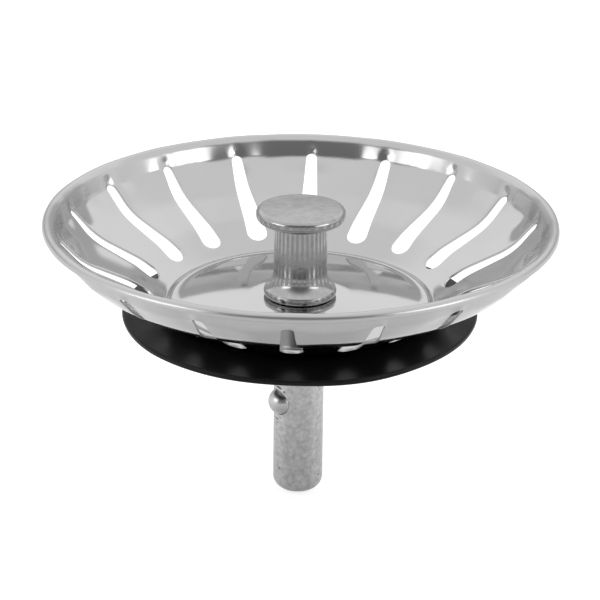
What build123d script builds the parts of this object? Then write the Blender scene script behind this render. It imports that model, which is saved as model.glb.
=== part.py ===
from build123d import *
import math
import os

# Basket strainer for a kitchen sink waste, in millimetres.
# The origin is the lowest point of the spindle, on its axis, and +Z is up.
# Outlines are drawn on the XZ plane and revolved about the Z axis.

# Overall
rim_diameter = 84.0         # outside of the rolled rim
rim_height = 49.4           # rolled rim above the lower end of the spindle
bowl_depth = 14.0           # rolled rim down to the floor under the knob

# Pressed bowl, whose outline is the middle of the sheet
sheet = 0.5
floor_flat_radius = 8.0     # flat pad under the knob's foot
floor_edge_radius = 18.6    # where the shallow dome of the floor ends
dome_drop = 0.6             # dome's edge below the pad
trough_width = 3.3          # dome's edge out to the lowest ring
trough_drop = 1.05          # lowest ring below the pad
shoulder_rise = 7.65        # turn in the upper wall, above the lowest ring
shoulder_inset = 6.6        # that turn, in from the outside of the rim
knee_share = 0.44           # knee's place between lowest ring and shoulder, across
knee_rise = 4.1             # knee above the lowest ring
neck_inset = 2.9            # nearly upright neck, in from the outside of the rim
neck_drop = 4.2             # foot of the neck below the rim
lip_inset = 2.2             # foot of the sloping lip, in from the outside of the rim
lip_drop = 1.3              # foot of the lip below the rim
roll_lift = 0.1             # crest of the rolled edge above the rim plane
roll_drop = 0.85            # how far the rolled edge turns down

# Radial slots in the wall
slot_count = 18
slot_phase = 15.0           # degrees from +X to the first slot
slot_floor_gap = 2.4        # lower, round and wide end, out from the lowest ring
slot_wide = 3.6
slot_narrow = 1.9
slot_top_drop = 3.0         # slot's upper end below the rim
cutter_spare = 1.0          # cutters reach this far past what they cut

# Pull knob
knob_height = 15.2
knob_head_radius = 7.3
knob_head_thick = 1.35
knob_head_slope = 0.1       # rise of the head's underside towards its edge
knob_neck_radius = 4.3
knob_waist_radius = 4.4     # lower end of the stem, where the flare begins
knob_waist_height = 2.4
knob_foot_radius = 5.95
knob_foot_height = 1.3
thread_radius = 2.5         # M5, drawn plain
thread_gap = 0.05
thread_engagement = 8.0
drill_depth = 9.0           # tapped hole in the knob
thread_lead = 0.5           # chamfer on the spigot's end

# Rubber seal and the washer that clamps it
seal_radius = 29.4
seal_thick = 1.7
seal_edge = 0.6             # rounding of the seal's outer edge
hub_inset = 0.4             # seal's raised hub inside the bowl's flat pad
seat_gap = 0.05             # seal's top face below the lowest ring
washer_radius = 11.0
washer_thick = 1.2
washer_edge = 0.2
washer_sink = 0.2           # how far the clamped washer beds into the rubber
bed_gap = 0.1               # rubber pushed back round the washer's edge

# Spindle
spindle_radius = 4.2
spindle_end_radius = 2.1
bore_gap = 0.15             # holes in bowl, seal and washer around the thread

# Ball catch in the spindle, which faces -X
ball_radius = 2.38          # 3/16 inch ball
ball_height = 16.7          # ball centre above the lower end of the spindle
ball_stand_out = 1.4        # past the spindle's side at rest, and its travel until flush
ball_gap = 0.05             # ball in its hole
hole_far_wall = 1.1         # metal left behind the blind hole
stake_depth = 0.25          # punched ring that folds the lip over the ball
stake_gap = 0.32            # ring outside the hole
stake_width = 0.5
spring_wire = 0.4
spring_turns = 4
spring_side_gap = 0.5       # coil in its hole
spring_end_gap = 0.02       # coil to the ball and to the hole's floor

# Heights and radii worked out from the sizes above
rim_radius = rim_diameter / 2
pad_top = rim_height - bowl_depth
pad_middle = pad_top - sheet / 2
trough_radius = floor_edge_radius + trough_width
trough_height = pad_middle - trough_drop
shoulder_radius = rim_radius - shoulder_inset
knee_radius = trough_radius + knee_share * (shoulder_radius - trough_radius)
roll_radius = rim_radius - sheet / 2
roll_crest = rim_height + roll_lift
shaft_hole_radius = thread_radius + bore_gap
seal_top = trough_height - sheet / 2 - seat_gap
seal_bottom = seal_top - seal_thick
washer_top = seal_bottom + washer_sink
washer_bottom = washer_top - washer_thick

os.makedirs("parts", exist_ok=True)


# Bowl: the middle of the sheet, from the centre hole out to the rolled rim
bowl_outline = [
    (shaft_hole_radius + sheet / 2, pad_middle),
    (floor_flat_radius, pad_middle),
    (floor_edge_radius, pad_middle - dome_drop),
    (trough_radius, trough_height),
    (knee_radius, trough_height + knee_rise),
    (shoulder_radius, trough_height + shoulder_rise),
    (rim_radius - neck_inset, rim_height - neck_drop),
    (rim_radius - lip_inset, rim_height - lip_drop),
    (roll_radius, roll_crest),
    (roll_radius, roll_crest - roll_drop),
]
bowl_bends = [6, 3, 2.5, 12, 12, 4, 1.2, 0.4]

# one tapered slot seen from above, round at its lower, inner end
slot_inner_radius = trough_radius + slot_floor_gap
slot_outer_radius = rim_radius - lip_inset
slot_round_centre = slot_inner_radius + slot_wide / 2
slot_mouth = slot_outer_radius + cutter_spare
with BuildSketch() as slot_shape:
    with BuildLine():
        ThreePointArc(
            (slot_round_centre, slot_wide / 2),
            (slot_inner_radius, 0),
            (slot_round_centre, -slot_wide / 2),
        )
        Polyline(
            (slot_round_centre, -slot_wide / 2),
            (slot_mouth, -slot_narrow / 2),
            (slot_mouth, slot_narrow / 2),
            (slot_round_centre, slot_wide / 2),
        )
    make_face()

slot_floor = trough_height - cutter_spare
slot_round_top = rim_height - slot_top_drop - slot_narrow / 2

with BuildPart() as strainer_bowl:
    with BuildSketch(Plane.XZ):
        with BuildLine():
            FilletPolyline(*bowl_outline, radius=bowl_bends)
            offset(amount=sheet / 2, side=Side.BOTH)
        make_face()
    revolve(axis=Axis.Z)
    # slots cut straight down through the wall, then rounded at their upper ends
    with BuildSketch(Plane.XY.offset(slot_floor)):
        with PolarLocations(0, slot_count, start_angle=slot_phase):
            add(slot_shape.sketch)
    extrude(amount=slot_round_top - slot_floor, mode=Mode.SUBTRACT)
    with Locations((0, 0, slot_round_top)):
        with PolarLocations(slot_outer_radius, slot_count, start_angle=slot_phase):
            Cylinder(
                slot_narrow / 2,
                lip_inset + 2 * cutter_spare,
                rotation=(0, 90, 0),
                mode=Mode.SUBTRACT,
            )
strainer_bowl.part.label = "strainer_bowl"
export_step(strainer_bowl.part, "parts/strainer_bowl.step")


# Knob: solid of revolution, tapped from below
knob_top = pad_top + knob_height
knob_head_under = knob_top - knob_head_thick
knob_outline = [
    (0, knob_top),
    (knob_head_radius, knob_top),
    (knob_head_radius, knob_head_under),
    (knob_neck_radius, knob_head_under - knob_head_slope),
    (knob_waist_radius, pad_top + knob_waist_height),
    (knob_foot_radius, pad_top + knob_foot_height),
    (knob_foot_radius, pad_top),
    (0, pad_top),
]
knob_bends = [0.55, 0.6, 1.0, 2.0, 0.8, 0.4]

with BuildPart() as pull_knob:
    with BuildSketch(Plane.XZ):
        with BuildLine():
            FilletPolyline(*knob_outline, radius=knob_bends)
            Line(knob_outline[-1], knob_outline[0])
        make_face()
    revolve(axis=Axis.Z)
    with Locations((0, 0, pad_top)):
        Cylinder(
            thread_radius + thread_gap,
            drill_depth,
            align=(Align.CENTER, Align.CENTER, Align.MIN),
            mode=Mode.SUBTRACT,
        )
pull_knob.part.label = "pull_knob"
export_step(pull_knob.part, "parts/pull_knob.step")


# Rubber seal: flat disc with a raised hub against the bowl's flat pad and a bed for the washer
hub_radius = floor_flat_radius - hub_inset
hub_top = pad_top - sheet
bed_radius = washer_radius + bed_gap
seal_outline = [
    (shaft_hole_radius, washer_top),
    (bed_radius, washer_top),
    (bed_radius, seal_bottom),
    (seal_radius, seal_bottom),
    (seal_radius, seal_top),
    (hub_radius, seal_top),
    (hub_radius, hub_top),
    (shaft_hole_radius, hub_top),
]

with BuildPart() as rubber_seal:
    with BuildSketch(Plane.XZ):
        with BuildLine():
            FilletPolyline(*seal_outline, radius=[0, 0, seal_edge, seal_edge, 0, 0])
            Line(seal_outline[-1], seal_outline[0])
        make_face()
    revolve(axis=Axis.Z)
rubber_seal.part.label = "rubber_seal"
export_step(rubber_seal.part, "parts/rubber_seal.step")


# Washer that spreads the spindle's clamping force over the rubber
with BuildPart() as clamp_washer:
    with BuildSketch(Plane.XY.offset(washer_bottom)):
        Circle(washer_radius)
        Circle(shaft_hole_radius, mode=Mode.SUBTRACT)
    extrude(amount=washer_thick)
    outer_edges = clamp_washer.edges().filter_by(GeomType.CIRCLE).group_by(SortBy.RADIUS)[-1]
    chamfer(outer_edges, washer_edge)
clamp_washer.part.label = "clamp_washer"
export_step(clamp_washer.part, "parts/clamp_washer.step")


# Spindle: plain rod with a threaded spigot above its shoulder and a blind hole for the ball
spigot_top = pad_top + thread_engagement
hole_radius = ball_radius + ball_gap
hole_floor_x = spindle_radius - hole_far_wall
ball_x = ball_radius - spindle_radius - ball_stand_out
spindle_outline = [
    (0, 0),
    (spindle_radius, 0),
    (spindle_radius, washer_bottom),
    (thread_radius, washer_bottom),
    (thread_radius, spigot_top - thread_lead),
    (thread_radius - thread_lead, spigot_top),
    (0, spigot_top),
]

with BuildPart() as spindle:
    with BuildSketch(Plane.XZ):
        with BuildLine():
            FilletPolyline(*spindle_outline, radius=[spindle_end_radius, 0, 0, 0, 0])
            Line(spindle_outline[-1], spindle_outline[0])
        make_face()
    revolve(axis=Axis.Z)
    # blind hole, then the inside of the lip, which follows the ball
    with BuildSketch(Plane.YZ.offset(ball_x)):
        with Locations((0, ball_height)):
            Circle(hole_radius)
    extrude(amount=hole_floor_x - ball_x, mode=Mode.SUBTRACT)
    with Locations((ball_x, 0, ball_height)):
        Sphere(hole_radius, mode=Mode.SUBTRACT)
    # punched ring: it only bites above and below the ball
    with BuildSketch(Plane.YZ.offset(stake_depth - spindle_radius)):
        with Locations((0, ball_height)):
            Circle(hole_radius + stake_gap + stake_width)
            Circle(hole_radius + stake_gap, mode=Mode.SUBTRACT)
    extrude(amount=-2 * stake_depth, mode=Mode.SUBTRACT)
spindle.part.label = "spindle"
export_step(spindle.part, "parts/spindle.step")


# Ball, at rest inside the folded lip
with BuildPart() as detent_ball:
    with Locations((ball_x, 0, ball_height)):
        Sphere(ball_radius)
detent_ball.part.label = "detent_ball"
export_step(detent_ball.part, "parts/detent_ball.step")


# Spring between the hole's floor and the back of the ball
coil_radius = hole_radius - spring_side_gap - spring_wire / 2
ball_to_wire = ball_radius + spring_wire / 2 + spring_end_gap
coil_front_x = ball_x + math.sqrt(ball_to_wire**2 - coil_radius**2)
coil_back_x = hole_floor_x - spring_wire / 2 - spring_end_gap
coil_length = coil_back_x - coil_front_x

with BuildPart() as detent_spring:
    with BuildLine() as coil:
        Helix(
            pitch=coil_length / spring_turns,
            height=coil_length,
            radius=coil_radius,
            center=(coil_back_x, 0, ball_height),
            direction=(-1, 0, 0),
        )
    with BuildSketch(Plane(origin=coil.line @ 0, z_dir=coil.line % 0)):
        Circle(spring_wire / 2)
    sweep(path=coil.line, is_frenet=True)
detent_spring.part.label = "detent_spring"
export_step(detent_spring.part, "parts/detent_spring.step")
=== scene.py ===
import bpy
import bmesh
import math
import numpy as np
from mathutils import Matrix, Vector


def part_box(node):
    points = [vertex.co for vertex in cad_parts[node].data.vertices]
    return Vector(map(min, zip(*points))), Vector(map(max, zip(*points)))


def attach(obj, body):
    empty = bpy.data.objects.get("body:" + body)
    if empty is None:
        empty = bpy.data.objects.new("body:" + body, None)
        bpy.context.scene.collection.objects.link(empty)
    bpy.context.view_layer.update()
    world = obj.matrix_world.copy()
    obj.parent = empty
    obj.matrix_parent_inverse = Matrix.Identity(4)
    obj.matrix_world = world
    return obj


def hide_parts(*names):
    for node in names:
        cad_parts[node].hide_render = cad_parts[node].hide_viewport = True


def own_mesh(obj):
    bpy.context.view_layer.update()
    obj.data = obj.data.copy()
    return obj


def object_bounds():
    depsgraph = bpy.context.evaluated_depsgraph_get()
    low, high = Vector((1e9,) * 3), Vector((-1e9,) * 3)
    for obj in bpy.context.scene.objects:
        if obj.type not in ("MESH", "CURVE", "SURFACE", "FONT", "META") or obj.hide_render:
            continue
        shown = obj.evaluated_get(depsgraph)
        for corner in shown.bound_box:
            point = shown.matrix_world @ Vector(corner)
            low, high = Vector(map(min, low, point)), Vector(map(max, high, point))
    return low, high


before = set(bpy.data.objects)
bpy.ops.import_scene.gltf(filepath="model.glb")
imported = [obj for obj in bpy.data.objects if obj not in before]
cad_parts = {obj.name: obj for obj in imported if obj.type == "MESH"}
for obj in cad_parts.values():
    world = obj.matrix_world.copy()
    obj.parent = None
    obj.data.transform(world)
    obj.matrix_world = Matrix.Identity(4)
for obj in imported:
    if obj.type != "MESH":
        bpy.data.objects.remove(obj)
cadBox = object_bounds()
mm = 0.001

# places that the frame's nodes give, in millimetres
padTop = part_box("pull_knob")[0].z / mm            # floor under the knob's foot
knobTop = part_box("pull_knob")[1].z / mm
rimRadius = round(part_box("strainer_bowl")[1].x / mm)
sealLow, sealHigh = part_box("rubber_seal")
washerLow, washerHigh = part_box("clamp_washer")
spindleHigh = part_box("spindle")[1]
ballLow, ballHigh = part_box("detent_ball")
ballCentre = (ballLow + ballHigh) / 2 / mm
ballRadius = (ballHigh.z - ballLow.z) / 2 / mm
springLow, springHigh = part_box("detent_spring")
shaftHole = 2.65                                  # hole in bowl, seal and washer

# how finely every piece is drawn and welded
arcStep = 0.12        # widest turn between two points of an arc, in radians
weldReach = 2e-6      # points closer than this become one, in metres
slimmest = 1e-7       # edges shorter than this are dissolved, in metres
pastStart = 0.2       # a path that closes on itself runs this far past its start, in millimetres


def unit(v):
    return v / np.linalg.norm(v, axis=-1, keepdims=True)


def roundedPath(corners, bends, step):
    # straight runs joined by arcs of the given radii; gives points and directions, about a step apart.
    # an arc swings between the spokes a and b, each weighted by the sine of its share of the sweep
    corners = np.array(corners, float)
    points, ways = [], []
    last = corners[0]
    for i, corner in enumerate(corners[1:], 1):
        back = unit(corners[i - 1] - corner)
        radius = bends[i - 1] if i <= len(bends) else 0
        if radius:
            on = unit(corners[i + 1] - corner)
            half = math.acos(np.dot(back, on)) / 2
            start = corner + back * radius / math.tan(half)
            end = corner + on * radius / math.tan(half)
            centre = corner + unit(back + on) * radius / math.sin(half)
        else:
            start = corner
        count = max(2, math.ceil(np.linalg.norm(start - last) / step) + 1)
        t = np.linspace(0, 1, count)[:, None]
        points.append(last + (start - last) * t)
        ways.append(np.repeat(-back[None], count, axis=0))
        last = start
        if radius:
            sweep = math.pi - 2 * half
            count = max(5, math.ceil(radius * sweep / step) + 1, math.ceil(sweep / arcStep))
            t = np.linspace(0, 1, count)[:, None]
            a, b = start - centre, end - centre
            points.append(centre + (np.sin((1 - t) * sweep) * a + np.sin(t * sweep) * b) / math.sin(sweep))
            ways.append(unit(np.cos(t * sweep) * b - np.cos((1 - t) * sweep) * a))
            last = end
    points, ways = np.concatenate(points), np.concatenate(ways)
    keep = np.r_[True, np.linalg.norm(np.diff(points, axis=0), axis=1) > 1e-6]
    return points[keep], unit(ways[keep])


def lathe(profile, angles, normals):
    # profile (radius, height) carried round the Z axis: x = r cos a, y = r sin a
    r, z = profile[:, :1], profile[:, 1:]
    c, s = np.cos(angles)[None], np.sin(angles)[None]
    points = np.stack([r * c, r * s, z + 0 * c], -1)
    nr, nz = normals[:, :1], normals[:, 1:]
    return points, np.stack([nr * c, nr * s, nz + 0 * c], -1)


def leftOf(ways):
    # outward normals of a profile whose outside lies on its left
    return np.stack([-ways[:, 1], ways[:, 0]], -1)


def fullTurn(columns, start=0.0):
    return start + np.arange(columns + 1) * 2 * math.pi / columns


def makePiece(name, grids, body, material, nodes):
    # each grid is points and normals in millimetres, rows by columns, and if need be a mark for each row:
    # the bowl's cut edges, the knob's bands of painted dark reflection spots.
    # seams and poles are welded
    verts, normals, marks, faces, first = [], [], [], [], 0
    for points, vectors, *mark in grids:
        rows, columns = points.shape[:2]
        marks.append(np.broadcast_to(mark[0][:, None] if mark else 0.0, (rows, columns)).ravel())
        index = first + np.arange(rows * columns).reshape(rows, columns)
        quads = np.stack([index[:-1, :-1], index[1:, :-1], index[1:, 1:], index[:-1, 1:]], -1)
        verts.append(points.reshape(-1, 3))
        normals.append(vectors.reshape(-1, 3))
        faces.append(quads.reshape(-1, 4))
        first += rows * columns
    mesh = bpy.data.meshes.new(name)
    mesh.from_pydata(np.concatenate(verts) * mm, [], np.concatenate(faces).tolist())
    layer = mesh.attributes.new("formNormal", "FLOAT_VECTOR", "POINT")
    layer.data.foreach_set("vector", unit(np.concatenate(normals) + 1e-12).ravel())
    if max(mark.max() for mark in marks) > 0:
        layer = mesh.attributes.new("cutEdgeAndReflectionMark", "FLOAT", "POINT")
        layer.data.foreach_set("value", np.concatenate(marks))
    work = bmesh.new()
    work.from_mesh(mesh)
    bmesh.ops.remove_doubles(work, verts=work.verts, dist=weldReach)
    bmesh.ops.dissolve_degenerate(work, edges=work.edges, dist=slimmest)
    work.to_mesh(mesh)
    work.free()
    smooth = np.zeros(len(mesh.vertices) * 3)
    mesh.attributes["formNormal"].data.foreach_get("vector", smooth)
    mesh.polygons.foreach_set("use_smooth", np.ones(len(mesh.polygons), bool))
    mesh.normals_split_custom_set_from_vertices(smooth.reshape(-1, 3))
    mesh.attributes.remove(mesh.attributes["formNormal"])
    piece = bpy.data.objects.new(name, mesh)
    bpy.context.scene.collection.objects.link(piece)
    mesh.materials.append(material)
    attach(piece, body)
    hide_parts(*nodes)
    return piece


def nodeTree(owner):
    # gives a function that adds a node, links the inputs that are sockets and sets the others
    nodes, links = owner.nodes, owner.links

    def add(kind, inputs=None, **settings):
        node = nodes.new(kind)
        for key, value in settings.items():
            setattr(node, key, value)
        for key, value in (inputs or {}).items():
            if hasattr(value, "is_output"):
                links.new(value, node.inputs[key])
            else:
                node.inputs[key].default_value = value
        return node
    return add


def newGroup(name, inputs, outputs):
    group = bpy.data.node_groups.new(name, "ShaderNodeTree")
    for label, kind, value in inputs:
        socket = group.interface.new_socket(label, in_out="INPUT", socket_type=kind)
        socket.default_value = value
    for label, kind in outputs:
        group.interface.new_socket(label, in_out="OUTPUT", socket_type=kind)
    return group


def smudgeGroup():
    # soft noise of several sizes, spread between a low and a high value
    group = newGroup(
        "smudges",
        [("Scale", "NodeSocketFloat", 60.0),
         ("Low", "NodeSocketFloat", 0.1),
         ("High", "NodeSocketFloat", 0.2)],
        [("Value", "NodeSocketFloat")],
    )
    add = nodeTree(group)
    given = add("NodeGroupInput")
    place = add("ShaderNodeTexCoord")
    slow = add("ShaderNodeTexNoise", {
        "Vector": place.outputs["Object"], "Scale": given.outputs["Scale"],
        "Detail": 4.0, "Roughness": 0.6})
    spread = add("ShaderNodeMapRange", {
        "Value": slow.outputs["Fac"], "From Min": 0.3, "From Max": 0.7,
        "To Min": given.outputs["Low"], "To Max": given.outputs["High"]})
    add("NodeGroupOutput", {"Value": spread.outputs["Result"]})
    return group


def grainGroup():
    # fine height noise, stretched along an axis whose squeeze is below 1, as turning or rolling leaves it
    group = newGroup(
        "grain",
        [("Scale", "NodeSocketFloat", 900.0), ("Squeeze", "NodeSocketVector", (1.0, 1.0, 1.0))],
        [("Height", "NodeSocketFloat")],
    )
    add = nodeTree(group)
    given = add("NodeGroupInput")
    place = add("ShaderNodeTexCoord")
    pulled = add("ShaderNodeVectorMath", {0: place.outputs["Object"], 1: given.outputs["Squeeze"]},
                 operation="MULTIPLY")
    fine = add("ShaderNodeTexNoise", {
        "Vector": pulled.outputs["Vector"], "Scale": given.outputs["Scale"],
        "Detail": 3.0, "Roughness": 0.55})
    add("NodeGroupOutput", {"Height": fine.outputs["Fac"]})
    return group


def spotGroup():
    # small round spots, one at most in each cell of a scattered grid: 1 inside a spot, 0 outside. they
    # make real pits on the rod and painted dark reflection spots on the knob
    group = newGroup(
        "pitsAndReflectionSpots",
        [("Scale", "NodeSocketFloat", 400.0), ("Size", "NodeSocketFloat", 0.05)],
        [("Mask", "NodeSocketFloat")],
    )
    add = nodeTree(group)
    given = add("NodeGroupInput")
    place = add("ShaderNodeTexCoord")
    cells = add("ShaderNodeTexVoronoi", {
        "Vector": place.outputs["Object"], "Scale": given.outputs["Scale"]})
    inner = add("ShaderNodeMath", {0: given.outputs["Size"], 1: 0.5}, operation="MULTIPLY")
    mask = add("ShaderNodeMapRange", {
        "Value": cells.outputs["Distance"], "From Min": given.outputs["Size"],
        "From Max": inner.outputs["Value"], "To Min": 0.0, "To Max": 1.0})
    add("NodeGroupOutput", {"Mask": mask.outputs["Result"]})
    return group


smudges, grain, pitsAndReflectionSpots = smudgeGroup(), grainGroup(), spotGroup()


def grey(value):
    return (value, value, value, 1)


def newMaterial(name):
    material = bpy.data.materials.new(name)
    material.use_nodes = True
    material.node_tree.nodes.clear()
    return material, nodeTree(material.node_tree)


def placeGroup(add, group, inputs):
    node = add("ShaderNodeGroup", node_tree=group)
    for key, value in inputs.items():
        node.inputs[key].default_value = value
    return node.outputs[0]


def wandering(add, scale, low, high):
    return placeGroup(add, smudges, {"Scale": scale, "Low": low, "High": high})


def toned(add, look):
    # colour that wanders between the look's two greys
    share = wandering(add, look["toneScale"], 0.0, 1.0)
    dark, light = look["tone"]
    return add("ShaderNodeMix", {0: share, 6: grey(dark), 7: grey(light)}, data_type="RGBA").outputs[2]


def bumped(add, look):
    # fine marks, on slow waves where the look has them
    beneath = {}
    if "waveScale" in look:
        waves = placeGroup(add, grain, {"Scale": look["waveScale"], "Squeeze": (1, 1, 1)})
        wavy = add("ShaderNodeBump", {"Height": waves, "Strength": 1.0, "Distance": look["waveDepth"]})
        beneath["Normal"] = wavy.outputs["Normal"]
    marks = placeGroup(add, grain, {
        "Scale": look["grainScale"], "Squeeze": look.get("squeeze", (1, 1, 1))})
    bump = add("ShaderNodeBump", {
        "Height": marks, "Strength": 1.0, "Distance": look["grainDepth"], **beneath})
    return bump.outputs["Normal"]


def shade(add, inputs):
    shader = add("ShaderNodeBsdfPrincipled", inputs)
    add("ShaderNodeOutputMaterial", {"Surface": shader.outputs["BSDF"]})


def polishedMetal(name, look):
    # plated or turned metal with dark spots where the look has them. without marks they are real pits;
    # gated by the marks they are painted dark reflections
    material, add = newMaterial(name)
    colour = toned(add, look)
    if "spotScale" in look:
        mask = placeGroup(add, pitsAndReflectionSpots, {"Scale": look["spotScale"], "Size": look["spotSize"]})
        # where the marks gate them, the dark spots are painted reflections
        if look.get("reflectionSpotsOnMarks"):
            marked = add("ShaderNodeAttribute", attribute_name="cutEdgeAndReflectionMark")
            both = add("ShaderNodeMath", {0: mask, 1: marked.outputs["Fac"]}, operation="MULTIPLY")
            mask = both.outputs["Value"]
        spotted = add("ShaderNodeMix", {0: mask, 6: colour, 7: grey(look["pitAndReflectionTone"])}, data_type="RGBA")
        colour = spotted.outputs[2]
    rough = wandering(add, look["smudgeScale"], *look["rough"])
    shade(add, {"Base Color": colour, "Metallic": 1.0, "Roughness": rough, "Normal": bumped(add, look)})
    return material


def sheetMetal(name, look):
    # mirror-like floor, duller in the wall and at the rim, grey raw metal on the cut edges
    material, add = newMaterial(name)
    place = add("ShaderNodeTexCoord")
    flat = add("ShaderNodeVectorMath", {0: place.outputs["Object"], 1: (1, 1, 0)}, operation="MULTIPLY")
    radius = add("ShaderNodeVectorMath", {0: flat.outputs["Vector"]}, operation="LENGTH").outputs["Value"]
    rim = add("ShaderNodeMapRange", {
        "Value": radius, "From Min": look["rimFrom"], "From Max": look["rimTo"],
        "To Min": 0.0, "To Max": look["rimRough"]}, interpolation_type="SMOOTHSTEP")
    wall = add("ShaderNodeMapRange", {
        "Value": radius, "From Min": look["wallFrom"], "From Max": look["wallTo"],
        "To Min": 0.0, "To Max": look["wallRough"]})
    smudge = wandering(add, look["smudgeScale"], *look["rough"])
    rough = add("ShaderNodeMath", {0: rim.outputs["Result"], 1: smudge}, operation="ADD")
    rough = add("ShaderNodeMath", {0: rough.outputs["Value"], 1: wall.outputs["Result"]}, operation="ADD")
    cut = add("ShaderNodeAttribute", attribute_name="cutEdgeAndReflectionMark").outputs["Fac"]
    dull = add("ShaderNodeMath", {0: cut, 1: look["cutRough"], 2: rough.outputs["Value"]},
               operation="MULTIPLY_ADD")
    edged = add("ShaderNodeMix", {0: cut, 6: toned(add, look), 7: grey(look["cutTone"])}, data_type="RGBA")
    shade(add, {"Base Color": edged.outputs[2], "Metallic": 1.0,
                "Roughness": dull.outputs["Value"], "Normal": bumped(add, look)})
    return material


def rubberMaterial(name, look):
    material, add = newMaterial(name)
    rough = wandering(add, look["smudgeScale"], *look["rough"])
    shade(add, {"Base Color": toned(add, look), "Roughness": rough, "Normal": bumped(add, look),
                "Specular IOR Level": look["specular"]})
    return material


steel = sheetMetal("brightSteelSheet", {
    "tone": (0.52, 0.56), "toneScale": 40, "rough": (0.05, 0.08), "smudgeScale": 55,
    "rimFrom": 0.0375, "rimTo": 0.0415, "rimRough": 0.2,
    "wallFrom": 0.021, "wallTo": 0.024, "wallRough": 0.03, "cutTone": 0.6, "cutRough": 0.22,
    "grainScale": 2500, "grainDepth": 6e-7, "waveScale": 70, "waveDepth": 2.5e-5})
chrome = polishedMetal("chromePlate", {
    "tone": (0.39, 0.47), "toneScale": 900, "rough": (0.12, 0.2), "smudgeScale": 400,
    # the dark spots here are painted reflections, only on the knob's marked bands
    "spotScale": 520, "spotSize": 0.3, "pitAndReflectionTone": 0.06, "reflectionSpotsOnMarks": True,
    "grainScale": 1500, "grainDepth": 3e-6, "waveScale": 300, "waveDepth": 3e-5})
satin = polishedMetal("satinRod", {
    "tone": (0.42, 0.66), "toneScale": 1200, "rough": (0.14, 0.26), "smudgeScale": 600,
    "spotScale": 420, "spotSize": 0.1, "pitAndReflectionTone": 0.06,
    "grainScale": 2200, "squeeze": (1, 1, 0.3), "grainDepth": 1.4e-5,
    "waveScale": 500, "waveDepth": 4e-5})
ballSteel = polishedMetal("ballSteel", {
    "tone": (0.5, 0.62), "toneScale": 500, "rough": (0.24, 0.34), "smudgeScale": 500,
    "grainScale": 2500, "grainDepth": 5e-7, "waveScale": 200, "waveDepth": 2e-6})
stampedSteel = polishedMetal("stampedSteel", {
    "tone": (0.45, 0.55), "toneScale": 150, "rough": (0.2, 0.3), "smudgeScale": 150,
    "grainScale": 2000, "squeeze": (1, 0.1, 1), "grainDepth": 8e-6,
    "waveScale": 90, "waveDepth": 3e-5})
wireSteel = polishedMetal("drawnWire", {
    "tone": (0.3, 0.4), "toneScale": 400, "rough": (0.22, 0.34), "smudgeScale": 400,
    "grainScale": 3000, "squeeze": (0.2, 1, 1), "grainDepth": 4e-6,
    "waveScale": 500, "waveDepth": 5e-6})
rubber = rubberMaterial("blackRubber", {
    "tone": (0.002, 0.004), "toneScale": 80, "rough": (0.33, 0.42), "smudgeScale": 70,
    "specular": 0.2, "grainScale": 1800, "grainDepth": 6e-6})
print("materials made")


bowl = {
    "sheet": 0.5, "depth": 14.0, "slots": 18, "slotPhase": math.radians(15),
    # the sheet's line is given by its corners, on the middle of the sheet
    "floorLine": [(8.0, 0.0), (20.3, 0.68), (21.4, 0.5)],    # corners: radius, drop below the floor
    "ringDrop": 1.05,                                        # lowest ring below the floor
    "wallLine": [(22.1, 0.1), (27.852, 4.1)],                # corners: radius, rise above the lowest ring
    "shoulderIn": 6.6, "shoulderRise": 7.65,                 # in from the rim, above the lowest ring
    "neckLine": [(2.7, 3.5), (1.75, 0.85)],                  # corners: in from the rim, below its plane
    "crest": 0.52, "rollEnd": 1.0,                           # rim's corner above, its end below the plane
    "bends": [6, 0.7, 0.35, 0.45, 10, 12, 1.7, 0.9, 0.55], "lineStep": 0.03,
    "softWall": 0.5,          # how far the wall's bends blend into their runs
    "softFold": 0.16,         # the same for the tight folds of floor and rim
    "softFrom": 23.0, "softFromReach": 2.0, "softToIn": 5.0, "softToReach": 1.5,
    "slotLow": 24.3, "slotWide": 3.6, "slotNarrow": 1.9, "slotTopDrop": 3.05,
    "margin": 0.9,            # plain sheet kept round each slot, along the wall
    "edge": 0.12,             # rounding of the punched edges
    "dimpleDepth": 0.3, "dimpleWidth": 0.85, "dimpleLength": 1.1, "dimpleAbove": 0.6,
    "rollDown": 0.05, "rollReach": 0.5,
    "swell": 0.16, "swellAt": 38.9, "swellReach": 1.7,
    # waves round the neck besides one for each slot: how many, how strong, where they start
    "waves": [(7, 0.5, 1), (11, 0.4, 0), (29, 0.4, 2), (43, 0.25, 5)],
    # how many points: across and along a slot, rings round it, and rows of floor, lip and sheet edges
    "across": 20, "along": 40, "rings": 11, "ringsUnder": 4, "gather": 1.4, "gatherUnder": 1.2,
    "floorRows": 30, "floorRowsUnder": 18, "holeRows": 5,
    "lipRows": 42, "lipRowsUnder": 24, "endRows": 7,
}
rimPlane = padTop + bowl["depth"]
slotStep = 2 * math.pi / bowl["slots"]
wallRadius = 30       # about the middle of the wall, to turn angles there into lengths


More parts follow.
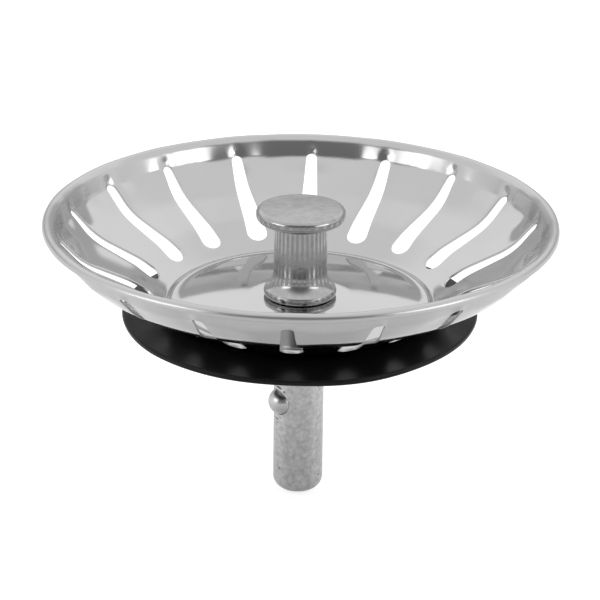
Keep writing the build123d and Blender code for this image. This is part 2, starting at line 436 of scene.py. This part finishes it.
def bowlLine():
    # middle of the sheet from the centre hole out to the rolled rim, as points an even step apart.
    # a bell-shaped mean over its neighbours softens each point, more in the wall than in the folds
    half, step = bowl["sheet"] / 2, bowl["lineStep"]
    middle = padTop - half
    low = middle - bowl["ringDrop"]
    corners = [(shaftHole + half, middle)]
    corners += [(r, middle - drop) for r, drop in bowl["floorLine"]]
    corners += [(r, low + rise) for r, rise in bowl["wallLine"]]
    corners.append((rimRadius - bowl["shoulderIn"], low + bowl["shoulderRise"]))
    corners += [(rimRadius - inwards, rimPlane - drop) for inwards, drop in bowl["neckLine"]]
    corners.append((rimRadius - half, rimPlane + bowl["crest"]))
    corners.append((rimRadius - half, rimPlane - bowl["rollEnd"]))
    points = roundedPath(corners, bowl["bends"], step)[0]
    length = np.r_[0, np.cumsum(np.linalg.norm(np.diff(points, axis=0), axis=1))]
    even = np.arange(0, length[-1], step)
    points = np.stack([np.interp(even, length, points[:, k]) for k in (0, 1)], -1)

    def soften(reach):
        count = round(3 * reach / step)
        weights = np.exp(-0.5 * (np.arange(-count, count + 1) * step / reach) ** 2)
        weights /= weights.sum()
        padded = np.pad(points, ((count, count), (0, 0)), "reflect", reflect_type="odd")
        return np.stack([np.convolve(padded[:, k], weights, "valid") for k in (0, 1)], -1)

    r = points[:, :1]
    wall = np.clip((r - bowl["softFrom"]) / bowl["softFromReach"], 0, 1)
    wall = wall * np.clip((rimRadius - bowl["softToIn"] - r) / bowl["softToReach"], 0, 1)
    return even, soften(bowl["softWall"]) * wall + soften(bowl["softFold"]) * (1 - wall)


lineAt, linePoints = bowlLine()
lineEnd = lineAt[-1]
# both ends of every slot, as distances along the line
slotLowAt = float(np.interp(bowl["slotLow"], linePoints[:, 0], lineAt))
slotTopAt = float(lineAt[np.nonzero(linePoints[:, 1] < rimPlane - bowl["slotTopDrop"])[0][-1]])


def bowlSheet(angle, along):
    # middle of the sheet at an angle and a distance along its line, moved along the line's own normal.
    # each slot has a dent above it, a bell in both directions, and the neck swells in slow waves
    r = np.interp(along, lineAt, linePoints[:, 0])
    z = np.interp(along, lineAt, linePoints[:, 1])
    step = 0.05
    after, before = np.minimum(along + step, lineEnd), np.maximum(along - step, 0)
    outward = np.interp(after, lineAt, linePoints[:, 0]) - np.interp(before, lineAt, linePoints[:, 0])
    upward = np.interp(after, lineAt, linePoints[:, 1]) - np.interp(before, lineAt, linePoints[:, 1])
    size = np.hypot(outward, upward)
    fromPhase = angle - bowl["slotPhase"]
    sideways = ((fromPhase + slotStep / 2) % slotStep - slotStep / 2) * r / bowl["dimpleWidth"]
    lengthways = (along - slotTopAt - bowl["dimpleAbove"]) / bowl["dimpleLength"]
    shift = -bowl["dimpleDepth"] * np.exp(-sideways ** 2 - lengthways ** 2)
    swell = np.cos(bowl["slots"] * fromPhase)
    for count, strength, start in bowl["waves"]:
        swell = swell + strength * np.sin(count * angle + start)
    shift = shift + bowl["swell"] * swell * np.exp(-((r - bowl["swellAt"]) / bowl["swellReach"]) ** 2)
    r, z = r - upward / size * shift, z + outward / size * shift
    return np.stack([r * np.cos(angle), r * np.sin(angle), z], -1)


def bowlFrame(angle, along):
    # point, unit vectors round and along the sheet, and the normal towards the inside of the bowl
    step = 0.02
    turn = step / wallRadius
    here = bowlSheet(angle, along)
    around = unit(bowlSheet(angle + turn, along) - bowlSheet(angle - turn, along))
    low, high = np.maximum(along - step, 0), np.minimum(along + step, lineEnd)
    outward = unit(bowlSheet(angle, high) - bowlSheet(angle, low))
    return here, around, outward, unit(np.cross(outward, around))


def slotRing():
    # outline of one slot: (sideways, along) and the direction away from the opening, point by point
    wide, narrow = bowl["slotWide"] / 2, bowl["slotNarrow"] / 2
    low, high = slotLowAt + wide, slotTopAt - narrow
    arc = np.linspace(math.pi, 2 * math.pi, bowl["across"] + 1)
    bottom = np.stack([wide * np.cos(arc), low + wide * np.sin(arc)], -1)
    arc = np.linspace(0, math.pi, bowl["across"] + 1)
    top = np.stack([narrow * np.cos(arc), high + narrow * np.sin(arc)], -1)
    t = np.linspace(0, 1, bowl["along"] + 1)[1:-1, None]
    right = np.array([wide, low]) * (1 - t) + np.array([narrow, high]) * t
    left = right[::-1] * [-1, 1]
    ring = np.concatenate([bottom, right, top, left, bottom[:1]])
    way = np.roll(ring[:-1], -1, 0) - np.roll(ring[:-1], 1, 0)
    away = unit(np.stack([way[:, 1], -way[:, 0]], -1))
    return ring, np.concatenate([away, away[:1]])


def patchRing(centre, low, high):
    # border of the patch round one slot: (angle, along), point for point with the slot's outline
    a = np.linspace(-0.5, 0.5, bowl["across"] + 1) * slotStep + centre
    s = np.linspace(low, high, bowl["along"] + 1)
    bottom = np.stack([a, np.full_like(a, low)], -1)
    right = np.stack([np.full_like(s, a[-1]), s], -1)[1:-1]
    top = np.stack([a[::-1], np.full_like(a, high)], -1)
    left = np.stack([np.full_like(s, a[0]), s[::-1]], -1)[1:-1]
    return np.concatenate([bottom, right, top, left, bottom[:1]])


def slotPatch(number, low, high):
    # sheet between the patch's border and the slot, round the punched edge and back underneath
    centre = bowl["slotPhase"] + number * slotStep
    ring, away = slotRing()
    border = patchRing(centre, low, high)
    edge, half = bowl["edge"], bowl["sheet"] / 2
    points, normals = [], []

    def addRing(place, height, lean):
        here, around, outward, up = bowlFrame(place[:, 0], place[:, 1])
        sideways = unit(away[:, :1] * around + away[:, 1:] * outward)
        lean = np.broadcast_to(lean, len(place))[:, None]
        height = np.broadcast_to(height, len(place))[:, None]
        points.append(here + up * height)
        normals.append(up * np.sin(lean) - sideways * np.cos(lean))

    def onSheet(flat):
        # a sideways length becomes an angle by the radius at its place along the line
        radius = np.interp(flat[:, 1], lineAt, linePoints[:, 0])
        return np.stack([centre + flat[:, 0] / radius, flat[:, 1]], -1)

    inner = onSheet(ring + away * edge)
    reach = np.linalg.norm((inner - border) * [wallRadius, 1], axis=1)
    for u in np.linspace(1, 0, bowl["rings"] + 1) ** bowl["gather"]:
        fall = bowl["rollDown"] * np.exp(-reach * u / bowl["rollReach"]) * (1 - u)
        addRing(inner + (border - inner) * u, half - fall, math.pi / 2 - fall / bowl["rollReach"])
    for side, turns in ((1, (60, 30, 0)), (-1, (0, -30, -60))):
        fall = bowl["rollDown"] if side > 0 else 0
        for lean in np.radians(turns):
            flat = onSheet(ring + away * edge * (1 - math.cos(lean)))
            addRing(flat, side * (half - edge) + edge * math.sin(lean) - fall, lean)
    for u in np.linspace(0, 1, bowl["ringsUnder"] + 1) ** bowl["gatherUnder"]:
        addRing(inner + (border - inner) * u, -half, -math.pi / 2)
    cut = np.zeros(len(points))
    cut[bowl["rings"] + 1:-bowl["ringsUnder"] - 1] = 1
    return np.array(points), np.array(normals), cut


def bowlBand(along, turn, columns):
    # full turns of sheet: a skin half a sheet off its middle, turned from outward towards upward
    angle = bowl["slotPhase"] - slotStep / 2 + fullTurn(columns)
    here, around, outward, up = bowlFrame(*np.meshgrid(angle, along))
    turn = turn[:, None, None]
    way = up * np.sin(turn) + outward * np.cos(turn)
    return here + way * bowl["sheet"] / 2, way


def makeBowl():
    low, high = slotLowAt - bowl["margin"], slotTopAt + bowl["margin"]
    columns, quarter = bowl["slots"] * bowl["across"], math.pi / 2
    grids = [slotPatch(k, low, high) for k in range(bowl["slots"])]
    # floor: underside inwards, round the edge of the hole, top outwards
    top = np.linspace(0, low, bowl["floorRows"])
    under = np.linspace(low, 0, bowl["floorRowsUnder"])
    turn = np.linspace(-quarter, -3 * quarter, bowl["holeRows"] + 2)[1:-1]
    grids.append(bowlBand(
        np.concatenate([under, 0 * turn, top]),
        np.concatenate([0 * under - quarter, turn, 0 * top + quarter]), columns))
    # lip and rolled edge: top outwards, round the end of the sheet, underside inwards
    top = np.linspace(high, lineEnd, bowl["lipRows"])
    under = np.linspace(lineEnd, high, bowl["lipRowsUnder"])
    turn = np.linspace(quarter, -quarter, bowl["endRows"] + 2)[1:-1]
    grids.append(bowlBand(
        np.concatenate([top, 0 * turn + lineEnd, under]),
        np.concatenate([0 * top + quarter, turn, 0 * under - quarter]), columns))
    makePiece("strainerBowl", grids, "strainer", steel, ["strainer_bowl"])


makeBowl()
print("bowl made")


knob = {
    "headRadius": 7.35, "headThick": 2.05, "headSlope": 0.1, "crown": 0.06,
    "neckRadius": 4.35, "waistRadius": 4.4, "waistHeight": 2.6, "footRadius": 6.0, "footHeight": 1.3,
    "threadRadius": 2.55, "chamfer": 0.4, "drillDepth": 9.0, "drillPoint": 1.4,
    "bends": [0.8, 0.95, 1.0, 4.0, 0.95, 0.7, 0.05, 0.1, 0.1], "step": 0.22, "columns": 192,
    "headReflectionSpots": (0.7, 0.35), "footReflectionSpots": (0.75, 0.5),    # bands of painted dark reflection spots: place and reach
}


def makeKnob():
    # head, stem and flared foot, then the tapped hole from below
    under, drillEnd = knobTop - knob["headThick"], padTop + knob["drillDepth"]
    hole, chamfer = knob["threadRadius"], knob["chamfer"]
    corners = [
        (0, knobTop), (knob["headRadius"], knobTop - knob["crown"]), (knob["headRadius"], under),
        (knob["neckRadius"], under - knob["headSlope"]),
        (knob["waistRadius"], padTop + knob["waistHeight"]),
        (knob["footRadius"], padTop + knob["footHeight"]), (knob["footRadius"], padTop),
        (hole + chamfer, padTop), (hole, padTop + chamfer), (hole, drillEnd),
        (0, drillEnd + knob["drillPoint"]),
    ]
    points, ways = roundedPath(corners, knob["bends"], knob["step"])
    headAt, headReach = knob["headReflectionSpots"]
    footAt, footReach = knob["footReflectionSpots"]
    # each band of painted dark reflection spots fades as a bell of the height away from its middle
    r, z = points.T
    marks = np.exp(-((knobTop - headAt - z) / headReach) ** 2) * (r > knob["footRadius"])
    marks += np.exp(-((z - padTop - footAt) / footReach) ** 2) * (r > knob["waistRadius"])
    grids = [(*lathe(points, fullTurn(knob["columns"]), leftOf(ways)), marks)]
    makePiece("pullKnob", grids, "strainer", chrome, ["pull_knob"])


makeKnob()
print("knob made")


seal = {
    "radius": 29.4, "thick": 1.7, "taper": 0.75, "ringRadius": 23.0, "hub": 7.6, "bed": 11.1,
    "bedDepth": 0.2, "bends": [0.15, 0.3, 0.5, 0.4, 0.4, 0.06, 0.06, 0.1], "step": 0.3, "columns": 240,
    "lift": 0.5, "liftToward": math.radians(-25), "liftPower": 1.5,
    "sag": 0.6, "sagToward": math.radians(57), "sagSpread": 2,
    "flapFrom": 22.4, "ripple": 0.08,
    "waves": [(5, 1.0, 0.7), (9, 0.6, 2.1)],      # ripples round the flap: how many, how strong, start
}


def flapHeight(x, y):
    # lift, sag and ripples grow with the square of the distance past the start of the flap.
    # lift and sag each follow the cosine of the angle away from their own side
    r, a = np.hypot(x, y), np.arctan2(y, x)
    out = np.clip((r - seal["flapFrom"]) / (seal["radius"] - seal["flapFrom"]), 0, 1.2) ** 2
    lift = seal["lift"] * np.clip(np.cos(a - seal["liftToward"]), 0, 1) ** seal["liftPower"]
    sag = seal["sag"] * np.clip(np.cos(a - seal["sagToward"]) * seal["sagSpread"], 0, 1)
    ripple = sum(strength * np.sin(count * a + start) for count, strength, start in seal["waves"])
    return out * (lift - sag + seal["ripple"] * ripple)


def makeSeal():
    # moulded disc with a hub and a free flap. the path goes once round the section and a little further,
    # and loses its last points again
    low, high = sealLow.z / mm, sealHigh.z / mm
    top = low + seal["thick"]
    corners = [
        (shaftHole, high), (seal["hub"], high), (seal["hub"], top), (seal["ringRadius"], top),
        (seal["radius"], top - seal["taper"]), (seal["radius"], low), (seal["bed"], low),
        (seal["bed"], low + seal["bedDepth"]), (shaftHole, low + seal["bedDepth"]),
        (shaftHole, high), (shaftHole + pastStart, high),
    ]
    points, ways = roundedPath(corners, seal["bends"], seal["step"])
    points, ways = points[:-3], ways[:-3]
    points = np.concatenate([points, points[:1]])
    ways = np.concatenate([ways, ways[:1]])
    grid, normals = lathe(points, fullTurn(seal["columns"]), leftOf(ways))
    x, y = grid[..., 0], grid[..., 1]
    step = 0.05
    slopeX = (flapHeight(x + step, y) - flapHeight(x - step, y)) / (2 * step)
    slopeY = (flapHeight(x, y + step) - flapHeight(x, y - step)) / (2 * step)
    grid[..., 2] += flapHeight(x, y)
    normals = normals - normals[..., 2:] * np.stack([slopeX, slopeY, 0 * x], -1)
    makePiece("rubberSeal", [(grid, normals)], "strainer", rubber, ["rubber_seal"])


makeSeal()
print("seal made")


washer = {
    "radius": 11.0, "bends": [0.22, 0.22, 0.15, 0.15], "step": 0.3, "columns": 144,
    "cutAt": 0.3,      # where the round starts, this far outside the hole
}


def makeWasher():
    # flat ring. the path goes once round the section and a little further, and is then cut to one round
    low, high = washerLow.z / mm, washerHigh.z / mm
    corners = [
        (shaftHole, high), (washer["radius"], high), (washer["radius"], low), (shaftHole, low),
        (shaftHole, high), (shaftHole + pastStart, high),
    ]
    points, ways = roundedPath(corners, washer["bends"], washer["step"])
    start = np.nonzero(points[:, 0] > shaftHole + washer["cutAt"])[0][0]
    points = np.concatenate([points[start:-1], points[start:start + 1]])
    ways = np.concatenate([ways[start:-1], ways[start:start + 1]])
    grids = [lathe(points, fullTurn(washer["columns"]), leftOf(ways))]
    makePiece("clampWasher", grids, "strainer", stampedSteel, ["clamp_washer"])


makeWasher()
print("washer made")


spindle = {
    "radius": 4.2, "bottomBend": 2.1, "shoulderBend": 0.12, "start": math.radians(112.5),
    "spigotRadius": 2.5, "lead": 0.5, "threadPitch": 0.8, "threadDepth": 0.42, "threadPower": 1.2,
    "threadFrom": 1.2, "threadFade": 0.8, "threadRows": 150,
    "holeGap": 0.05, "holeFloor": 3.1,
    # ring punched round the ball
    "stakeFrom": 2.75, "stakeTo": 3.25, "stakeDepth": 0.25, "stakeSoft": 0.07,
    # the front patch round the ball, and how finely all is drawn
    "columns": 96, "patchColumns": 36, "patchHalf": 4.6, "patchRows": 24, "farRows": 8, "nearRows": 30,
    "mouthRounds": 30, "sideStep": 0.6, "bottomStep": 0.25,
}


def rodPoint(sideways, height):
    # side of the rod near the ball, with the punched ring pressed in to one depth.
    # two smooth steps of the distance from the ball's axis make the ring
    a = math.pi + sideways / spindle["radius"]
    x, y = spindle["radius"] * np.cos(a), spindle["radius"] * np.sin(a)
    ring = np.hypot(y, height)
    inside = 1 / (1 + np.exp((spindle["stakeFrom"] - ring) / spindle["stakeSoft"] * 2))
    inside *= 1 / (1 + np.exp((ring - spindle["stakeTo"]) / spindle["stakeSoft"] * 2))
    deep = np.clip(-x - (spindle["radius"] - spindle["stakeDepth"]), 0, None)
    return np.stack([x + inside * deep, y, height + ballCentre.z], -1)


def mouthRing():
    # border of the rod's front patch and, point for point, where the ball's hole comes out of the rod:
    # (sideways, height), clockwise. the mouth lies on both the rod's cylinder and the hole's sphere
    columns, rows = spindle["patchColumns"], spindle["patchRows"]
    halfWide = columns / spindle["columns"] * math.pi * spindle["radius"]
    halfHigh = spindle["patchHalf"]
    x = np.linspace(-halfWide, halfWide, columns + 1)
    z = np.linspace(halfHigh, -halfHigh, rows + 1)
    border = np.concatenate([
        np.stack([x, np.full_like(x, halfHigh)], -1),
        np.stack([np.full_like(z, halfWide), z], -1)[1:-1],
        np.stack([x[::-1], np.full_like(x, -halfHigh)], -1),
        np.stack([np.full_like(z, -halfWide), z[::-1]], -1)[1:-1],
    ])
    border = np.concatenate([border, border[:1]])
    turn = np.arctan2(border[:, 1], border[:, 0])
    radius = ballRadius + spindle["holeGap"]
    out = np.full_like(turn, radius)
    for _ in range(spindle["mouthRounds"]):      # until the distance from the axis has settled
        x = -np.sqrt(spindle["radius"] ** 2 - (out * np.cos(turn)) ** 2)
        out = (np.sqrt(radius ** 2 - (x - ballCentre.x) ** 2) + out) / 2
    y, z = out * np.cos(turn), out * np.sin(turn)
    return border, np.stack([spindle["radius"] * np.arcsin(y / spindle["radius"]), z], -1)


def threadRadius(a, z):
    # the cut is a triangle wave that climbs one pitch a turn, fading at both ends
    low, high = washerLow.z / mm + spindle["threadFrom"], spindleHigh.z / mm - spindle["lead"]
    phase = (z / spindle["threadPitch"] - a / (2 * math.pi)) % 1
    cut = spindle["threadDepth"] * (1 - np.abs(2 * phase - 1)) ** spindle["threadPower"]
    fade = np.clip((z - low) / spindle["threadFade"], 0, 1)
    fade *= np.clip((high - z) / spindle["threadFade"], 0, 1)
    return spindle["spigotRadius"] - cut * fade


def threadedSpigot():
    heights = np.linspace(spindleHigh.z / mm - spindle["lead"], washerLow.z / mm, spindle["threadRows"])
    a, z = np.meshgrid(fullTurn(spindle["columns"], spindle["start"]), heights)
    r = threadRadius(a, z)
    rise, turn = 0.02, 0.01      # small steps up and round, for the slopes
    slopeZ = (threadRadius(a, z + rise) - threadRadius(a, z - rise)) / (2 * rise)
    slopeA = (threadRadius(a + turn, z) - threadRadius(a - turn, z)) / (2 * turn) / r
    points = np.stack([r * np.cos(a), r * np.sin(a), z], -1)
    normals = np.stack([np.cos(a) + slopeA * np.sin(a), np.sin(a) - slopeA * np.cos(a), -slopeZ], -1)
    return points, normals


def rodFront():
    # the band's front, from its border to the mouth, over its edge, back inside the hollow to the floor
    border, mouth = mouthRing()
    points, normals = [], []
    step = 0.01
    far, near = np.linspace(1, 0.5, spindle["farRows"]), np.linspace(0.5, 0, spindle["nearRows"])
    for u in np.r_[far[:-1], near]:
        x, z = (mouth + (border - mouth) * u).T
        points.append(rodPoint(x, z))
        aside = rodPoint(x + step, z) - rodPoint(x - step, z)
        above = rodPoint(x, z + step) - rodPoint(x, z - step)
        normals.append(unit(np.cross(aside, above)))
    hollow = ballRadius + spindle["holeGap"]
    centre = np.array(ballCentre)
    toward = unit(points[-1] - centre)
    rise = np.arctan2(np.hypot(toward[:, 1], toward[:, 2]), -toward[:, 0])
    around = unit(toward * [0, 1, 1])
    points.append(centre + toward * hollow)
    normals.append(unit(normals[-1] - toward))
    for share in (0.04, 0.3, 0.6, 1):      # down the sphere to its widest circle
        tilt = (rise + (math.pi / 2 - rise) * share)[:, None]
        way = np.sin(tilt) * around + np.cos(tilt) * [-1, 0, 0]
        points.append(centre + way * hollow)
        normals.append(-way)
    for depth in (0.5, 1):                 # along the bore
        wall = centre + around * hollow
        wall[:, 0] += (spindle["holeFloor"] - centre[0]) * depth
        points.append(wall)
        normals.append(-around)
    for share in (0.98, 0.0):              # across its floor
        floor = centre + around * hollow * share
        floor[:, 0] = spindle["holeFloor"]
        points.append(floor)
        normals.append(np.tile([-1.0, 0, 0], (len(floor), 1)))
    return np.array(points), np.array(normals)


def makeSpindle():
    # threaded spigot and its tip, the rod above and below the ball, and the band that holds the ball
    angles = fullTurn(spindle["columns"], spindle["start"])
    radius, spigot, lead = spindle["radius"], spindle["spigotRadius"], spindle["lead"]
    top, high = washerLow.z / mm, spindleHigh.z / mm
    upper, lower = ballCentre.z + spindle["patchHalf"], ballCentre.z - spindle["patchHalf"]
    tip = np.array([(0, high), (spigot - lead, high), (spigot, high - lead)])
    tipWays = np.array([(0, 1), (0.4, 0.9), (0.7, 0.7)])
    grids = [threadedSpigot(), lathe(tip, angles, tipWays)]
    shoulder = [(spigot, top), (radius, top), (radius, upper)]
    points, ways = roundedPath(shoulder, [spindle["shoulderBend"]], spindle["sideStep"])
    grids.append(lathe(points, angles, leftOf(ways)))
    bottom = [(radius, lower), (radius, 0), (0, 0)]
    points, ways = roundedPath(bottom, [spindle["bottomBend"]], spindle["bottomStep"])
    grids.append(lathe(points, angles, leftOf(ways)))
    z = np.linspace(upper, lower, spindle["patchRows"] + 1)
    side = np.stack([np.full_like(z, radius), z], -1)
    outward = np.stack([np.ones_like(z), 0 * z], -1)
    grids.append(lathe(side, angles[spindle["patchColumns"]:], outward))
    grids.append(rodFront())
    makePiece("spindleRod", grids, "strainer", satin, ["spindle"])


makeSpindle()
print("spindle made")


ball = {"columns": 64, "rows": 40}
spring = {
    "wire": 0.4, "turns": 5.6, "coilRadius": 1.73, "sides": 12, "perTurn": 48,
    "closePace": 0.14, "closeFrom": 0.6, "deadTurns": 0.9,    # end turns lie close and open up slowly
    "endSize": 0.8,
}


def makeBall():
    # sphere with its poles on the hole's axis
    turn, lean = np.meshgrid(-fullTurn(ball["columns"]), np.linspace(0, math.pi, ball["rows"] + 1))
    way = np.stack([-np.cos(lean), np.sin(lean) * np.cos(turn), np.sin(lean) * np.sin(turn)], -1)
    grids = [(np.array(ballCentre) + way * ballRadius, way)]
    makePiece("catchBall", grids, "ball", ballSteel, ["detent_ball"])


def makeSpring():
    # wire carried along a coil whose end turns lie close, with its two ends closed by a short taper.
    # the coil's advance at each point is the running sum of a pace that is slow near both ends
    r = spring["wire"] / 2
    count = round(spring["turns"] * spring["perTurn"])
    t = np.linspace(0, spring["turns"], count)
    opened = np.minimum(t, spring["turns"] - t) / spring["deadTurns"] - spring["closeFrom"]
    pace = spring["closePace"] + (1 - spring["closePace"]) * np.clip(opened, 0, 1)
    travel = np.r_[0, np.cumsum((pace[1:] + pace[:-1]) / 2)]
    x = springHigh.x / mm - r - travel / travel[-1] * ((springHigh.x - springLow.x) / mm - 2 * r)
    a = 2 * math.pi * t
    coil = spring["coilRadius"]
    line = np.stack([x, coil * np.cos(a), ballCentre.z + coil * np.sin(a)], -1)
    way = unit(np.gradient(line, axis=0))
    side = unit(np.cross(way, np.stack([0 * a, np.cos(a), np.sin(a)], -1)))
    out = np.cross(side, way)
    size = np.ones(count)
    size[[0, -1]] = 0
    size[[1, -2]] = spring["endSize"]
    b = -fullTurn(spring["sides"])[None, :, None]
    spoke = np.cos(b) * out[:, None] + np.sin(b) * side[:, None]
    grid = line[:, None] + spoke * r * size[:, None, None]
    grid[0], grid[-1] = line[1], line[-2]
    normals = spoke.copy()
    normals[0], normals[-1] = -way[0], way[-1]
    piece = makePiece(
        "catchSpring", [(grid, normals)], "strainer", wireSteel, ["detent_spring"])
    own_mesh(piece)


makeBall()
makeSpring()
print("ball and spring made")


studio = {
    "floorSize": 3.0, "floorGap": 0.0002, "floorTone": 0.68, "floorGlow": 0.7,
    "floorShine": 0.2, "sideShine": 0.38, "shineFrom": 0.8, "shineTo": 0.2,
    "front": Vector((-0.5358, -0.8443, 0)),
    "skySide": 0.98, "skyFront": 0.22, "frontFrom": 0.36, "frontTo": 0.86,
    "bandBehind": 0.58, "skyBehind": 1.14, "bandTop": 0.33, "skyFrom": 0.37,
    "behindFrom": -0.3, "behindTo": -0.6,
    "boxTarget": (0, 0, 0.03), "boxWide": 0.5, "boxHigh": 0.3, "boxPower": 0.8,
    "boxes": {"leftSoftbox": (-0.8, -0.01, 0.24), "rightSoftbox": (0.33, -0.73, 0.24)},
}
camera = {
    "lens": 130.95, "sensor": 36, "near": 0.01, "target": (0.00002, 0, 0.03433), "distance": 0.3614,
    "tilt": math.radians(22.79), "roll": math.radians(0.75), "turn": math.radians(-32.4),
}


def frontness(add, way):
    # cosine of the angle between a direction and the studio's front
    cosine = add("ShaderNodeVectorMath", {0: way, 1: studio["front"]}, operation="DOT_PRODUCT")
    return cosine.outputs["Value"]


def makeFloor():
    # white paper that glows for the eye and, more softly, for mirrors
    half = studio["floorSize"]
    level = cadBox[0].z - studio["floorGap"]
    corners = [(-half, -half, level), (half, -half, level), (half, half, level), (-half, half, level)]
    mesh = bpy.data.meshes.new("studioFloor")
    mesh.from_pydata(corners, [], [(0, 1, 2, 3)])
    floor = bpy.data.objects.new("studioFloor", mesh)
    bpy.context.scene.collection.objects.link(floor)
    material, add = newMaterial("palePaper")
    path = add("ShaderNodeLightPath")
    seen = add("ShaderNodeMath", {0: path.outputs["Is Camera Ray"], 1: studio["floorGlow"]},
               operation="MULTIPLY")
    mirrored = add("ShaderNodeMath", {
        0: path.outputs["Is Glossy Ray"], 1: path.outputs["Is Transmission Ray"]}, operation="MAXIMUM")
    # mirrors see the paper brighter at the two sides than in front
    place = add("ShaderNodeTexCoord")
    way = add("ShaderNodeVectorMath", {0: place.outputs["Object"]}, operation="NORMALIZE")
    side = add("ShaderNodeMapRange", {
        "Value": frontness(add, way.outputs["Vector"]),
        "From Min": studio["shineFrom"], "From Max": studio["shineTo"],
        "To Min": studio["floorShine"], "To Max": studio["sideShine"]})
    shine = add("ShaderNodeMath", {
        0: mirrored.outputs["Value"], 1: side.outputs["Result"], 2: seen.outputs["Value"]},
        operation="MULTIPLY_ADD")
    paper = add("ShaderNodeBsdfDiffuse", {"Color": grey(studio["floorTone"])})
    glow = add("ShaderNodeEmission", {"Color": grey(1), "Strength": shine.outputs["Value"]})
    both = add("ShaderNodeAddShader", {0: paper.outputs["BSDF"], 1: glow.outputs["Emission"]})
    add("ShaderNodeOutputMaterial", {"Surface": both.outputs["Shader"]})
    mesh.materials.append(material)


def makeWorld():
    # white for the eye. mirrors find it duller in front, and behind a dull band under a bright upper part
    world = bpy.data.worlds.new("softStudio")
    bpy.context.scene.world = world
    world.use_nodes = True
    world.node_tree.nodes.clear()
    add = nodeTree(world.node_tree)
    way = add("ShaderNodeTexCoord").outputs["Generated"]
    facing = frontness(add, way)
    front = add("ShaderNodeMapRange", {
        "Value": facing, "From Min": studio["frontFrom"], "From Max": studio["frontTo"],
        "To Min": studio["skySide"], "To Max": studio["skyFront"]}, interpolation_type="SMOOTHSTEP")
    height = add("ShaderNodeSeparateXYZ", {0: way})
    rising = add("ShaderNodeMapRange", {
        "Value": height.outputs["Z"], "From Min": studio["bandTop"], "From Max": studio["skyFrom"],
        "To Min": studio["bandBehind"], "To Max": studio["skyBehind"]})
    behind = add("ShaderNodeMapRange", {
        "Value": facing, "From Min": studio["behindFrom"], "From Max": studio["behindTo"]})
    level = add("ShaderNodeMix", {
        0: behind.outputs["Result"], 2: front.outputs["Result"], 3: rising.outputs["Result"]},
        data_type="FLOAT")
    path = add("ShaderNodeLightPath")
    around = add("ShaderNodeBackground", {"Color": grey(1), "Strength": level.outputs[0]})
    white = add("ShaderNodeBackground", {"Color": grey(1), "Strength": 1.0})
    mixed = add("ShaderNodeMixShader", {
        0: path.outputs["Is Camera Ray"], 1: around.outputs["Background"], 2: white.outputs["Background"]})
    add("ShaderNodeOutputWorld", {"Surface": mixed.outputs["Shader"]})


def softbox(name, place):
    lamp = bpy.data.lights.new(name, "AREA")
    lamp.shape = "RECTANGLE"
    lamp.size = studio["boxWide"]
    lamp.size_y = studio["boxHigh"]
    lamp.energy = studio["boxPower"]
    box = bpy.data.objects.new(name, lamp)
    away = Vector(place) - Vector(studio["boxTarget"])
    box.matrix_world = Matrix.Translation(place) @ away.to_track_quat("Z", "Y").to_matrix().to_4x4()
    bpy.context.scene.collection.objects.link(box)


def makeCamera():
    lens = bpy.data.cameras.new("productCamera")
    lens.lens = camera["lens"]
    lens.sensor_width = camera["sensor"]
    lens.clip_start = camera["near"]
    holder = bpy.data.objects.new("productCamera", lens)
    bpy.context.scene.collection.objects.link(holder)
    tilt, roll = camera["tilt"], camera["roll"]
    forward = Vector((0, math.cos(tilt), -math.sin(tilt)))
    right = Vector((1, 0, 0))
    up = right.cross(forward)
    rolledRight = math.cos(roll) * right + math.sin(roll) * up
    rolledUp = math.cos(roll) * up - math.sin(roll) * right
    pose = Matrix((rolledRight, rolledUp, -forward)).transposed().to_4x4()
    pose.translation = Vector(camera["target"]) - camera["distance"] * forward
    holder.matrix_world = Matrix.Rotation(camera["turn"], 4, "Z") @ pose
    bpy.context.scene.camera = holder


makeFloor()
makeWorld()
for name, place in studio["boxes"].items():
    softbox(name, place)
makeCamera()
bpy.context.scene.view_settings.view_transform = "Standard"
print("studio made")
